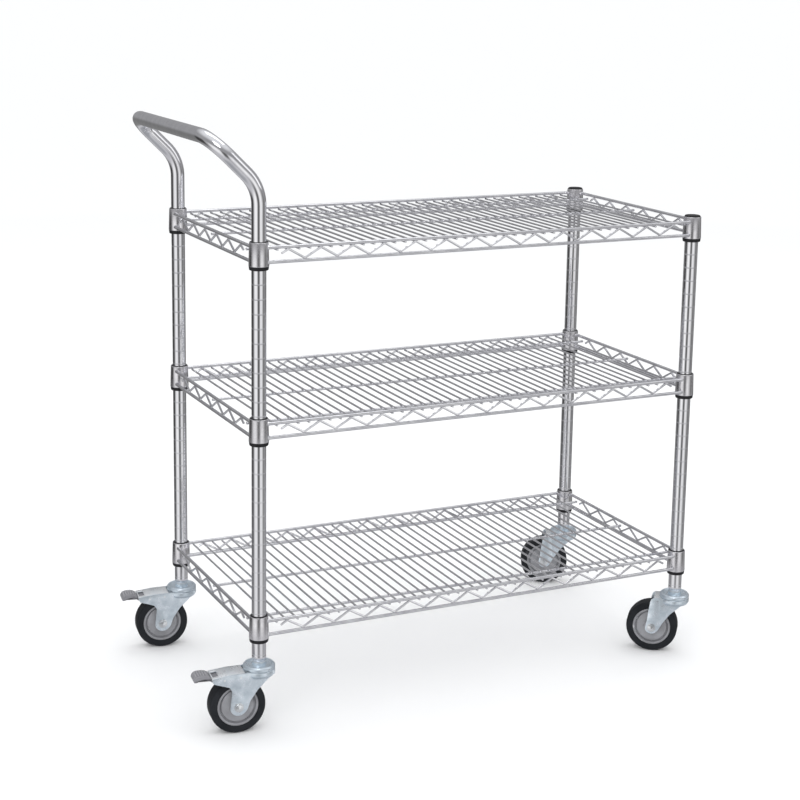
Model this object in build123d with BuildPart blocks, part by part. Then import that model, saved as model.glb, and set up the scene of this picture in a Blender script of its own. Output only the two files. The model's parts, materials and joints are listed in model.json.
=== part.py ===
from build123d import *
import os
from math import cos, radians, sin, sqrt, tan

# Three-tier wire shelf cart on four swivel casters, in millimetres.
# X runs along the shelves with the push handle at -X, Y across them, Z up.
# The origin is on the floor, midway between the four posts.

os.makedirs("parts", exist_ok=True)

# ---------------------------------------------------------------- driving dimensions
post_span_x = 875.0          # between post axes, along the shelves
post_span_y = 425.0          # between post axes, across the shelves
post_r = 12.7
tube_wall = 1.5
groove_pitch = 25.4          # height step of the shelves
groove_depth = 0.6
groove_width = 2.4
post_foot_z = 126.5

collar_top = {"bottom": 208.3, "middle": 563.9, "top": 868.7}
collar_height = 41.0
collar_r_top = 16.4
collar_r_foot = 17.6
cone_r_top = 14.6            # tapered seat between collar and split sleeve
cone_r_foot = 16.2
sleeve_drop = 5.0            # sleeve shows this far below the collar
sleeve_rise = 0.9            # and this far above it
sleeve_split = 1.2           # gap between the two half sleeves

rim_out = 10.0               # rim wires run this far outside the post axes
rim_r = 3.0
rim_drop = 9.0               # top rim wire, below the collar's top
truss_height = 25.0          # between the two rim wires
snake_r = 2.0
snake_bend = 4.0
snake_sink = 0.5             # weld depth of the snake wire in a rim wire
snake_stub = 0.42            # length of the loose end, as a share of one leg
peaks_x = 14                 # snake peaks on a long side
snake_pitch_x = 59.7
peaks_y = 6                  # snake peaks on a short side
snake_pitch_y = 61.3

deck_r = 1.8
deck_per_peak = 3            # deck wires for each snake peak
deck_gap = 0.02
support_r = 2.5
support_y = (-175.0, 0.0, 175.0)
support_sink = 0.4           # weld depth of a deck wire in a support wire

handle_bend_z = 962.0        # where the leg's line turns away from the cart
handle_bar_x = -522.0
handle_slope = 44.5          # degrees above the floor
handle_leg_bend = 75.0
handle_corner = 48.0
handle_joint_z = 852.0       # post ends and handle begins, inside the top collar
spigot_half = 34.0
spigot_gap = 0.05
spigot_wall = 1.6

cap_flange_r = 14.2
cap_flange = 1.6
cap_edge = 0.7               # bevel round the cap
cap_plug = 14.0
right_post_top = collar_top["top"] + sleeve_rise + 0.1

wheel_r = 50.0
tyre_half = 16.0
tyre_seat_r = 37.0
seat_half = 13.0
hub_half = 17.3
hub_r = 14.0
core_disc_r = 29.0
core_disc_half = 11.0
core_groove_half = 8.5
trail = 41.0                 # swivel axis to axle
axle_r = 4.0
axle_sleeve_r = 6.0
running_gap = 0.05

fork_inner = 18.0            # half the gap between the cheeks
cheek = 2.5
crown_r = 28.5
crown_low = 102.0
crown_top = 112.0
race_gap = 0.5
race_r = 28.5
race_edge = 5.0              # height of the race's straight side
race_top = 120.5
race_rim = 5.0               # width of the rim round the race's dished top
race_dish = 2.0
nut_r = 12.5                 # round nut between the race and the post
nut_top = 124.5
ball_r = 2.6
ball_ring_r = 20.0
ball_room = 0.15
ball_count = 16
kingpin_r = 6.0
kingpin_head_r = 9.0
kingpin_low = 97.0
stem_top = 160.0

pedal_pivot = (66.0, 103.0)  # (trail, height)
shoe_pivot = (37.0, 105.3)
shoe_boss_r = 3.3
pedal_travel = 16.0
shoe_ratio = 0.35            # shoe turns this much for each degree of the pedal
pin_r = 2.0
pad_clearance = 0.5          # left between pad and tyre at full press
pedal_half = 15.0
shoe_half = 11.0

# ---------------------------------------------------------------- derived places
half_x = post_span_x / 2
half_y = post_span_y / 2
post_bore = post_r - tube_wall
rim_x = half_x + rim_out
rim_y = half_y + rim_out
deck_drop = rim_drop + rim_r + deck_r + deck_gap
support_drop = deck_drop + deck_r + support_r - support_sink
axle_z = wheel_r
sleeve_mid = collar_height / 2
posts = {
    "front_left": (-half_x, -half_y),
    "back_left": (-half_x, half_y),
    "front_right": (half_x, -half_y),
    "back_right": (half_x, half_y),
}
trail_heading = {"front_left": 173.0, "back_left": 172.0, "front_right": 141.0, "back_right": 152.0}
braked = ("front_left", "back_left")


# ---------------------------------------------------------------- small helpers
def save(part, name):
    """Label a finished piece and write it to its own file."""
    part.label = name
    export_step(part, f"parts/{name}.step")


def upright(x, y):
    """A vertical sketch plane through a post: local X is radial, local Y is up."""
    return Plane(origin=(x, y, 0), x_dir=(1, 0, 0), z_dir=(0, -1, 0))


def turned(points, x, y):
    """A ring about a post's axis from (radius, height) corners."""
    with BuildPart() as ring:
        with BuildSketch(upright(x, y)):
            Polygon(*points, align=None)
        revolve(axis=Axis((x, y, 0), (0, 0, 1)))
    return ring.part


def collar_shape(x, y, top, bore=True):
    """The welded corner collar, or its filled outer shape."""
    foot = top - collar_height
    inner_top = cone_r_top if bore else 0
    inner_foot = cone_r_foot if bore else 0
    return turned(
        [(inner_foot, foot), (collar_r_foot, foot), (collar_r_top, top), (inner_top, top)], x, y
    )


# ---------------------------------------------------------------- shelves
def snake_path(reach_pitch, peaks, top_z):
    """Corners of the snake wire in (along, height), with a short loose end at each side."""
    half_step = reach_pitch / 2
    slope_rise = truss_height - 2 * (rim_r + snake_r - snake_sink)
    lean = sqrt(half_step**2 + slope_rise**2) / half_step
    crest = snake_bend * (lean - 1)
    high = top_z - (rim_r + snake_r - snake_sink) + crest
    low = top_z - truss_height + (rim_r + snake_r - snake_sink) - crest
    first = -(peaks - 1) * half_step
    corners = [(first - snake_stub * half_step, high - snake_stub * (high - low))]
    for i in range(2 * peaks - 1):
        corners.append((first + i * half_step, low if i % 2 else high))
    corners.append((-first + snake_stub * half_step, high - snake_stub * (high - low)))
    return corners


def make_truss(plane, span, pitch, peaks, top):
    """One side of a shelf: two rim wires and the snake wire, ending on two collars."""
    top_z = top - rim_drop
    corners = snake_path(pitch, peaks, top_z)
    with BuildPart() as truss:
        for height in (top_z, top_z - truss_height):
            end = plane * Plane(origin=(-span / 2, height, 0), z_dir=(1, 0, 0))
            with BuildSketch(end):
                Circle(rim_r)
            extrude(amount=span)
        with BuildLine(plane) as snake:
            FilletPolyline(*corners, radius=snake_bend)
        with BuildSketch(Plane(origin=snake.line @ 0, z_dir=snake.line % 0)):
            Circle(snake_r)
        sweep(path=snake.line)
        for x, y in posts.values():
            add(collar_shape(x, y, top, bore=False), mode=Mode.SUBTRACT)
    return truss.part


def make_deck(top):
    """The grille: deck wires across the shelf, welded on three support wires."""
    pitch = snake_pitch_x / deck_per_peak
    count = deck_per_peak * (peaks_x - 1) + 3
    deck_half_y = rim_y - snake_r - deck_gap
    support_half_x = rim_x - snake_r - deck_gap
    with BuildPart() as deck:
        with BuildSketch(Plane.XZ.offset(-deck_half_y)):
            with Locations((0, top - deck_drop)):
                with GridLocations(pitch, 1, count, 1):
                    Circle(deck_r)
        extrude(amount=2 * deck_half_y)
        with BuildSketch(Plane.YZ.offset(-support_half_x)):
            with Locations(*[(y, top - support_drop) for y in support_y]):
                Circle(support_r)
        extrude(amount=2 * support_half_x)
    return deck.part


def make_sleeves(top):
    """Two tapered half sleeves on each post, with a ridge that sits in a post groove."""
    foot = top - collar_height
    taper = (cone_r_foot - cone_r_top) / collar_height
    low, high = foot - sleeve_drop, top + sleeve_rise
    ridge_z = top - sleeve_mid
    with BuildPart() as sleeves:
        for x, y in posts.values():
            with BuildSketch(upright(x, y)):
                Polygon(
                    (post_r, low),
                    (cone_r_foot, low),
                    (cone_r_foot, foot),
                    (cone_r_top, top),
                    (cone_r_top - taper * sleeve_rise, high),
                    (post_r, high),
                    align=None,
                )
                with Locations((post_r, ridge_z)):
                    Rectangle(groove_depth * 1.6, groove_width * 0.7)
            revolve(axis=Axis((x, y, 0), (0, 0, 1)))
            with BuildSketch(Plane.XY.offset(low)):
                with Locations((x, y)):
                    Rectangle(3 * cone_r_foot, sleeve_split)
            extrude(amount=high - low, mode=Mode.SUBTRACT)
    return sleeves.part


# the four sides: sketch plane, distance between post axes, snake pitch, snake peaks
sides = {
    "front": (Plane(origin=(0, -rim_y, 0), x_dir=(1, 0, 0), z_dir=(0, -1, 0)),
              post_span_x, snake_pitch_x, peaks_x),
    "back": (Plane(origin=(0, rim_y, 0), x_dir=(1, 0, 0), z_dir=(0, -1, 0)),
             post_span_x, snake_pitch_x, peaks_x),
    "left": (Plane(origin=(-rim_x, 0, 0), x_dir=(0, 1, 0), z_dir=(1, 0, 0)),
             post_span_y, snake_pitch_y, peaks_y),
    "right": (Plane(origin=(rim_x, 0, 0), x_dir=(0, 1, 0), z_dir=(1, 0, 0)),
              post_span_y, snake_pitch_y, peaks_y),
}

for tier, top in collar_top.items():
    save(make_deck(top), f"{tier}_shelf_deck")
    for side, (plane, span, pitch, peaks) in sides.items():
        save(make_truss(plane, span, pitch, peaks, top), f"{tier}_shelf_{side}_truss")
    with BuildPart() as collars:
        for x, y in posts.values():
            add(collar_shape(x, y, top))
    save(collars.part, f"{tier}_shelf_collars")
    save(make_sleeves(top), f"{tier}_shelf_sleeves")


# ---------------------------------------------------------------- posts
def make_post(x, y, top):
    """A grooved tube; the grooves set the heights that a shelf can clip to."""
    first_groove = collar_top["bottom"] - sleeve_mid
    below = int((first_groove - post_foot_z - groove_width) // groove_pitch)
    start = first_groove - below * groove_pitch
    grooves = []
    while start + len(grooves) * groove_pitch < top - groove_width:
        grooves.append(start + len(grooves) * groove_pitch)
    with BuildPart() as post:
        with BuildSketch(upright(x, y)):
            with Locations(((post_bore + post_r) / 2, (post_foot_z + top) / 2)):
                Rectangle(tube_wall, top - post_foot_z)
            with Locations(*[(post_r, z) for z in grooves]):
                Rectangle(2 * groove_depth, groove_width, mode=Mode.SUBTRACT)
        revolve(axis=Axis((x, y, 0), (0, 0, 1)))
    return post.part


for corner, (x, y) in posts.items():
    post_top = handle_joint_z if x < 0 else right_post_top
    save(make_post(x, y, post_top), f"{corner}_post")

with BuildPart() as post_caps:
    for x, y in posts.values():
        if x > 0:
            with BuildSketch(upright(x, y)):
                Polygon(
                    (0, right_post_top - cap_plug),
                    (post_bore, right_post_top - cap_plug),
                    (post_bore, right_post_top),
                    (cap_flange_r, right_post_top),
                    (cap_flange_r, right_post_top + cap_flange - cap_edge),
                    (cap_flange_r - cap_edge, right_post_top + cap_flange),
                    (0, right_post_top + cap_flange),
                    align=None,
                )
            revolve(axis=Axis((x, y, 0), (0, 0, 1)))
save(post_caps.part, "post_caps")

insert_flange = 1.5
insert_depth = 32.0
with BuildPart() as foot_inserts:
    for x, y in posts.values():
        with BuildSketch(upright(x, y)):
            Polygon(
                (kingpin_r, post_foot_z - insert_flange),
                (post_r, post_foot_z - insert_flange),
                (post_r, post_foot_z),
                (post_bore, post_foot_z),
                (post_bore, post_foot_z + insert_depth),
                (kingpin_r, post_foot_z + insert_depth),
                align=None,
            )
        revolve(axis=Axis((x, y, 0), (0, 0, 1)))
save(foot_inserts.part, "post_foot_inserts")

# ---------------------------------------------------------------- push handle
handle_bar_z = handle_bend_z + (-half_x - handle_bar_x) * tan(radians(handle_slope))
with BuildPart() as push_handle:
    with BuildLine() as handle_line:
        FilletPolyline(
            (-half_x, -half_y, handle_joint_z),
            (-half_x, -half_y, handle_bend_z),
            (handle_bar_x, -half_y, handle_bar_z),
            (handle_bar_x, half_y, handle_bar_z),
            (-half_x, half_y, handle_bend_z),
            (-half_x, half_y, handle_joint_z),
            radius=[handle_leg_bend, handle_corner, handle_corner, handle_leg_bend],
        )
    with BuildSketch(Plane(origin=(-half_x, -half_y, handle_joint_z), z_dir=(0, 0, 1))):
        Circle(post_r)
        Circle(post_bore, mode=Mode.SUBTRACT)
    sweep(path=handle_line.line)
save(push_handle.part, "push_handle")

with BuildPart() as handle_spigots:
    for y in (-half_y, half_y):
        with BuildSketch(Plane.XY.offset(handle_joint_z - spigot_half)):
            with Locations((-half_x, y)):
                Circle(post_bore - spigot_gap)
                Circle(post_bore - spigot_gap - spigot_wall, mode=Mode.SUBTRACT)
        extrude(amount=2 * spigot_half)
save(handle_spigots.part, "handle_spigots")


# ---------------------------------------------------------------- casters
def caster_side(corner, across=0.0):
    """Sketch plane beside a caster's wheel: local X is the trail, local Y is up.

    Its normal points across the wheel; `across` moves the plane along the normal.
    """
    x, y = posts[corner]
    heading = radians(trail_heading[corner])
    ahead = (cos(heading), sin(heading), 0)
    normal = (sin(heading), -cos(heading), 0)
    return Plane(origin=(x, y, 0), x_dir=ahead, z_dir=normal).offset(across)


def across_bar(corner, place, radius, half):
    """A round bar across a caster, centred on its wheel plane."""
    with BuildPart() as bar:
        with BuildSketch(caster_side(corner, -half)):
            with Locations(place):
                Circle(radius)
        extrude(amount=2 * half)
    return bar.part


def make_stem(x, y):
    """Threaded stem, upper race and riveted kingpin: the part that stays still."""
    race_low = crown_top + race_gap
    with BuildPart() as stem:
        with BuildSketch(upright(x, y)):
            Polygon(
                (0, kingpin_low),
                (kingpin_head_r, kingpin_low),
                (kingpin_head_r, crown_low - race_gap),
                (kingpin_r, crown_low - race_gap),
                (kingpin_r, race_low),
                (race_r, race_low),
                (race_r, race_low + race_edge),
                (race_r - race_rim / 2, race_top),
                (race_r - race_rim, race_top),
                (race_r - race_rim - race_dish, race_top - race_dish),
                (nut_r, race_top - race_dish),
                (nut_r, nut_top),
                (kingpin_r, nut_top),
                (kingpin_r, stem_top),
                (0, stem_top),
                align=None,
            )
            with Locations((ball_ring_r, (crown_top + race_low) / 2)):
                Circle(ball_r + ball_room, mode=Mode.SUBTRACT)
        revolve(axis=Axis((x, y, 0), (0, 0, 1)))
    return stem.part


def make_balls(x, y):
    """The ring of balls between the two races."""
    with BuildPart() as balls:
        with Locations((x, y, crown_top + race_gap / 2)):
            with PolarLocations(ball_ring_r, ball_count):
                Sphere(ball_r)
    return balls.part


# cheek outlines in (trail, height); the rounded foot is added as a disc round the axle bolt
cheek_rear = [(-24, crown_low + 4), (-14, 99), (6, 80), (20, 60), (26.5, 46), (trail, 36)]
plain_cheek = cheek_rear + [(52, 44), (50.5, 62), (48, 84), (45, 103), (43, 108.5), (38, crown_top),
                            (-24, crown_top)]
tail_top = [(29, crown_top), (56, 111.5), (88, 107.8)]
brake_cheek = cheek_rear + [(55, 44), (54, 67), (52.5, 80), (56, 87.5), (66, 91.3), (79, 95.5),
                            (85.5, 98), *reversed(tail_top), (-24, crown_top)]
cheek_foot_r = {True: 15.5, False: 13.0}   # with and without a brake
web = 2.5                    # sheet thickness of the tail's top
web_slot = (75.0, 85.5)      # opening in the tail's top, along the trail
web_slot_half = 11.0


def make_fork(corner):
    """The stamped fork: crown with the lower race, two cheeks and, on a brake caster, a tail."""
    has_brake = corner in braked
    x, y = posts[corner]
    outline = brake_cheek if has_brake else plain_cheek
    with BuildPart() as fork:
        with BuildSketch(Plane.XY.offset(crown_low)):
            with Locations((x, y)):
                Circle(crown_r)
        extrude(amount=crown_top - crown_low)
        for across in (-fork_inner - cheek, fork_inner):
            with BuildSketch(caster_side(corner, across)):
                Polygon(*outline, align=None)
                with Locations((trail, axle_z)):
                    Circle(cheek_foot_r[has_brake])
            extrude(amount=cheek)
        with BuildSketch(caster_side(corner, -fork_inner)):
            if has_brake:
                under = [(along, height - web) for along, height in reversed(tail_top)]
                Polygon(*tail_top, *under, align=None)
            else:
                Polygon((26, crown_low), (34, crown_top - web), (34, crown_top), (26, crown_top),
                        align=None)
        extrude(amount=2 * fork_inner)
        if has_brake:
            with BuildSketch(caster_side(corner, -web_slot_half)):
                with Locations((sum(web_slot) / 2, crown_top)):
                    Rectangle(web_slot[1] - web_slot[0], 6 * web)
            extrude(amount=2 * web_slot_half, mode=Mode.SUBTRACT)
        with BuildSketch(upright(x, y)):
            with Locations((ball_ring_r, crown_top + race_gap / 2)):
                Circle(ball_r + ball_room)
        revolve(axis=Axis((x, y, 0), (0, 0, 1)), mode=Mode.SUBTRACT)
        with BuildSketch(Plane.XY.offset(kingpin_low)):
            with Locations((x, y)):
                Circle(kingpin_r + running_gap)
        extrude(amount=race_top - kingpin_low, mode=Mode.SUBTRACT)
        bolt_hole = across_bar(corner, (trail, axle_z), axle_r + running_gap, wheel_r)
        add(bolt_hole, mode=Mode.SUBTRACT)
        if has_brake:
            for place in (pedal_pivot, shoe_pivot):
                pin_hole = across_bar(corner, place, pin_r + running_gap, wheel_r)
                add(pin_hole, mode=Mode.SUBTRACT)
    return fork.part


def make_axle(corner):
    """Axle bolt with its head, the nut, and the spacer sleeve that the wheel turns on."""
    outer = fork_inner + cheek
    head_high = 4.5
    hex_r = 7.5
    with BuildPart() as axle:
        with BuildSketch(caster_side(corner, -outer - 7)):
            with Locations((trail, axle_z)):
                Circle(axle_r)
        extrude(amount=2 * outer + 7)
        with BuildSketch(caster_side(corner, outer)):
            with Locations((trail, axle_z)):
                RegularPolygon(hex_r, 6)
        extrude(amount=head_high)
        with BuildSketch(caster_side(corner, -outer)):
            with Locations((trail, axle_z)):
                RegularPolygon(hex_r, 6)
                Circle(axle_r + running_gap, mode=Mode.SUBTRACT)
        extrude(amount=-head_high)
        with BuildSketch(caster_side(corner, -fork_inner)):
            with Locations((trail, axle_z)):
                Circle(axle_sleeve_r)
                Circle(axle_r + running_gap, mode=Mode.SUBTRACT)
        extrude(amount=2 * fork_inner)
    return axle.part


def wheel_section(corner):
    """Sketch plane through the axle: local X is the radius, local Y runs across the wheel."""
    side = caster_side(corner)
    centre = side.from_local_coords((trail, axle_z, 0))
    return Plane(origin=centre, x_dir=(0, 0, 1), z_dir=side.x_dir), Axis(centre, side.z_dir)


def make_wheel_core(corner):
    """Moulded wheel centre: hub, web disc, a groove round it, and the tyre seat."""
    section, axis = wheel_section(corner)
    bore = axle_sleeve_r + running_gap
    half = [(bore, hub_half), (hub_r, hub_half), (hub_r + 2, core_disc_half),
            (core_disc_r, core_disc_half), (core_disc_r + 1, core_groove_half),
            (core_disc_r + 3, core_groove_half), (core_disc_r + 4, seat_half),
            (tyre_seat_r, seat_half)]
    other_half = [(radius, -across) for radius, across in reversed(half)]
    with BuildPart() as core:
        with BuildSketch(section):
            Polygon(*half, *other_half, align=None)
        revolve(axis=axis)
    return core.part


def make_tyre(corner):
    """Solid rubber tread with rounded shoulders."""
    section, axis = wheel_section(corner)
    width = wheel_r - tyre_seat_r
    with BuildPart() as tyre:
        with BuildSketch(section):
            with Locations((tyre_seat_r + width / 2, 0)):
                RectangleRounded(width, 2 * tyre_half, 4.5)
            with Locations((tyre_seat_r + width / 4, 0)):
                Rectangle(width / 2, 2 * tyre_half - 3)
        revolve(axis=axis)
    return tyre.part


def make_pedal(corner):
    """Foot pedal of the brake, with the cam under its root."""
    outline = [(62.6, 101.6), (66, 99.4), (70, 99.8), (86, 99.5), (89, 101), (92, 104), (99, 106.2),
               (107, 105), (112.5, 102.2), (117.5, 101.8), (119, 103.2), (118.5, 107), (115.5, 111.4),
               (109, 113.2), (100, 113), (94, 111.5), (89.5, 108.8), (88.6, 104.6), (80, 105.4),
               (66, 106.9), (62.6, 106)]
    with BuildPart() as pedal:
        with BuildSketch(caster_side(corner, -pedal_half)):
            Polygon(*outline, align=None)
            with Locations(pedal_pivot):
                Circle(pin_r + running_gap, mode=Mode.SUBTRACT)
        extrude(amount=2 * pedal_half)
    return pedal.part


def make_shoe(corner):
    """Hinged brake shoe; its pad is hollowed to meet the tyre when the pedal is down."""
    turn = radians(pedal_travel * shoe_ratio)
    ahead = trail - shoe_pivot[0]
    below = axle_z - shoe_pivot[1]
    hollow = (shoe_pivot[0] + ahead * cos(turn) - below * sin(turn),
              shoe_pivot[1] + ahead * sin(turn) + below * cos(turn))
    outline = [(37, 108.6), (42, 107.6), (58, 102.2), (66, 98.8), (71, 97.2), (72, 91), (60, 92),
               (50, 96), (37, 102)]
    with BuildPart() as shoe:
        with BuildSketch(caster_side(corner, -shoe_half)):
            Polygon(*outline, align=None)
            with Locations(shoe_pivot):
                Circle(shoe_boss_r)
            with Locations(shoe_pivot):
                Circle(pin_r + running_gap, mode=Mode.SUBTRACT)
            with Locations(hollow):
                Circle(wheel_r + pad_clearance, mode=Mode.SUBTRACT)
        extrude(amount=2 * shoe_half)
    return shoe.part


def make_brake_pins(corner):
    """Pivot pins of the pedal and of the shoe, through both cheeks."""
    with BuildPart() as pins:
        for place in (pedal_pivot, shoe_pivot):
            add(across_bar(corner, place, pin_r, fork_inner + cheek + 0.8))
    return pins.part


for corner, (x, y) in posts.items():
    save(make_stem(x, y), f"{corner}_caster_stem")
    save(make_balls(x, y), f"{corner}_caster_balls")
    save(make_fork(corner), f"{corner}_caster_fork")
    save(make_axle(corner), f"{corner}_caster_axle")
    save(make_wheel_core(corner), f"{corner}_wheel_core")
    save(make_tyre(corner), f"{corner}_tyre")
    if corner in braked:
        save(make_pedal(corner), f"{corner}_brake_pedal")
        save(make_shoe(corner), f"{corner}_brake_shoe")
        save(make_brake_pins(corner), f"{corner}_brake_pins")
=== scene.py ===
import json
from math import atan2, cos, pi, radians, sin, sqrt, tan

import bmesh
import bpy
from mathutils import Matrix, Vector


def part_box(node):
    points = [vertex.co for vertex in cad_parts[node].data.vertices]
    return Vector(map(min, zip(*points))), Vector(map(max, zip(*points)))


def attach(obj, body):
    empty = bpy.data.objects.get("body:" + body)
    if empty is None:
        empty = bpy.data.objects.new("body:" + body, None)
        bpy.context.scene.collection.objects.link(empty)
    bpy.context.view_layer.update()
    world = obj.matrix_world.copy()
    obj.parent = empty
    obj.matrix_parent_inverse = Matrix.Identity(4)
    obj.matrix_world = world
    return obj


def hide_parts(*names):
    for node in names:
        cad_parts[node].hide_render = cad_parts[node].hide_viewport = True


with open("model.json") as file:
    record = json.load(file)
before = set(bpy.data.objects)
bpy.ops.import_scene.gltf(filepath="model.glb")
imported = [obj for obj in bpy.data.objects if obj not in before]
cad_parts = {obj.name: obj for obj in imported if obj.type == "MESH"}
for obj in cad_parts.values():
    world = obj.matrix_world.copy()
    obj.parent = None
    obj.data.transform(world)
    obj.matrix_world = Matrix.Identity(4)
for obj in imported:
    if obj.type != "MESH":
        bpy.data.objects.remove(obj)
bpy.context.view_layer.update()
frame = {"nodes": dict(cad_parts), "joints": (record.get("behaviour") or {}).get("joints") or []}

# Chrome wire shelf cart. Metres; X along the shelves, Y across them, Z up from the floor.
MM = 0.001
CORNERS = ("front_left", "back_left", "front_right", "back_right")
TIERS = ("bottom", "middle", "top")
SIDES = ("front", "back", "left", "right")
BRAKED = ("front_left", "back_left")
UP = Vector((0, 0, 1))


# ---------------------------------------------------------------- places taken from the frame
def middle(node):
    """Centre of a CAD node's box."""
    low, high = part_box(node)
    return (Vector(low) + Vector(high)) / 2


POST_AXIS = {c: Vector((*middle(f"{c}_post").xy, 0)) for c in CORNERS}
POST_R = (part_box("front_left_post")[1][0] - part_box("front_left_post")[0][0]) / 2
COLLAR_TOP = {t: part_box(f"{t}_shelf_collars")[1][2] for t in TIERS}
COLLAR_FOOT = {t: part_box(f"{t}_shelf_collars")[0][2] for t in TIERS}
RIM_X = middle("top_shelf_right_truss").x
RIM_Y = middle("top_shelf_back_truss").y
RIM_R = (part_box("top_shelf_back_truss")[1][1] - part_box("top_shelf_back_truss")[0][1]) / 2
TRUSS_TOP = {t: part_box(f"{t}_shelf_front_truss")[1][2] - RIM_R for t in TIERS}
TRUSS_FOOT = {t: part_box(f"{t}_shelf_front_truss")[0][2] + RIM_R for t in TIERS}
HINGES = {j["name"]: j for j in frame["joints"]}

# ---------------------------------------------------------------- sizes of the wires and fittings
SNAKE_R = 2.0 * MM
SNAKE_BEND = 4.0 * MM
SNAKE_SINK = 0.5 * MM
SNAKE_STUB = 0.42                # loose end, as a share of one leg
SNAKE_PITCH = {"x": 59.7 * MM, "y": 61.3 * MM}
SNAKE_PEAKS = {"x": 14, "y": 6}
DECK_R = 1.8 * MM
DECK_PER_PEAK = 3
SUPPORT_R = 2.5 * MM
SUPPORT_Y = (-0.175, 0.0, 0.175)
SUPPORT_SINK = 0.4 * MM
SUPPORT_SHORT = 1.0 * MM         # support wires stop this far inside the rim's middle
DECK_SINK = 0.3 * MM             # deck wires sink this far into the rim wires
DECK_OVERHANG = 1.4 * MM         # deck wires end this far past the rim's middle
RIM_SINK = 1.0 * MM              # rim wires end this far inside a collar's skin
COLLAR_WELD_R = 4.0 * MM
SNAKE_WELD_R = 1.9 * MM
DECK_WELD_R = 1.7 * MM
COLLAR_R_TOP = 16.4 * MM
COLLAR_R_FOOT = 17.6 * MM
COLLAR_EDGE = 0.9 * MM
COLLAR_BORE_EDGE = 0.4 * MM
SLEEVE_R_TOP = 14.6 * MM
SLEEVE_R_FOOT = 16.2 * MM
SLEEVE_LIP = 6.6 * MM            # a sleeve reaches this far below its collar
SLEEVE_LIP_R = 17.3 * MM
SLEEVE_LIP_R_FOOT = 16.4 * MM
SLEEVE_GAP = 0.05 * MM
TUBE_WALL = 1.5 * MM
TUBE_EDGE = 0.4 * MM
GROOVE_PITCH = 25.4 * MM
GROOVE_DEEP = 0.25 * MM
GROOVE_WIDE = 2.0 * MM
# one groove: (along, in groove widths; depth, as a share of the full depth)
GROOVE_SHAPE = ((-0.8, 0), (-0.5, 0), (-0.2, 1), (0.2, 1), (0.5, 0), (0.8, 0))
HANDLE_SLOPE = radians(44.5)
HANDLE_BENDS = (0.075, 0.048, 0.048, 0.075)
CAP_R = 14.2 * MM
CAP_FLANGE = 1.6 * MM
CAP_PLUG = 14.0 * MM
CAP_RIM_R = 11.2 * MM
CAP_DISH = 0.6 * MM
CAP_DISH_R = 10.4 * MM
WIRE_SIDES = 12
TUBE_SIDES = 48


# ---------------------------------------------------------------- mesh helpers
def filleted(corners, steps=5):
    """A 2-D outline with its corners rounded: corners are (x, y, radius)."""
    count = len(corners)
    outline = []
    for i, (x, y, radius) in enumerate(corners):
        here = Vector((x, y))
        before = Vector(corners[i - 1][:2])
        after = Vector(corners[(i + 1) % count][:2])
        if radius <= 0:
            outline.append(here)
            continue
        a, b = (before - here), (after - here)
        half = a.angle(b) / 2
        reach = min(radius / tan(half), 0.49 * a.length, 0.49 * b.length)
        radius = reach * tan(half)
        a.normalize()
        b.normalize()
        centre = here + (a + b).normalized() * radius / sin(half)
        start = here + a * reach - centre
        end = here + b * reach - centre
        turn = atan2(start.x * end.y - start.y * end.x, start.dot(end))
        for k in range(steps + 1):
            step = turn * k / steps
            spoke = Vector((start.x * cos(step) - start.y * sin(step),
                            start.x * sin(step) + start.y * cos(step)))
            outline.append(centre + spoke)
    return outline


def spun(bm, section, centre, axis=UP, radial=None, closed=True, steps=TUBE_SIDES):
    """Spins a (radius, along) section once round an axis."""
    axis = Vector(axis).normalized()
    radial = Vector(radial).normalized() if radial else axis.orthogonal().normalized()
    verts = [bm.verts.new(Vector(centre) + radial * p[0] + axis * p[1]) for p in section]
    edges = [bm.edges.new(pair) for pair in zip(verts, verts[1:])]
    if closed:
        edges.append(bm.edges.new((verts[-1], verts[0])))
    bmesh.ops.spin(bm, geom=verts + edges, cent=centre, axis=axis, angle=2 * pi, steps=steps,
                   use_merge=True, use_duplicate=False)


def ring_at(bm, place, along, radius, sides):
    """A round loop of edges across a direction; returns its edges."""
    turn = Vector(along).to_track_quat("Z", "Y").to_matrix().to_4x4()
    made = bmesh.ops.create_circle(bm, cap_ends=False, segments=sides, radius=radius,
                                   matrix=Matrix.Translation(place) @ turn)
    return list({e for v in made["verts"] for e in v.link_edges})


def pulled(bm, edges):
    """Extrudes a loop of edges in place; returns the new edges and vertices."""
    made = bmesh.ops.extrude_edge_only(bm, edges=edges)["geom"]
    new_verts = [g for g in made if isinstance(g, bmesh.types.BMVert)]
    moved = set(new_verts)
    new_edges = [g for g in made if isinstance(g, bmesh.types.BMEdge)
                 and g.verts[0] in moved and g.verts[1] in moved]
    return new_edges, new_verts


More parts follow.
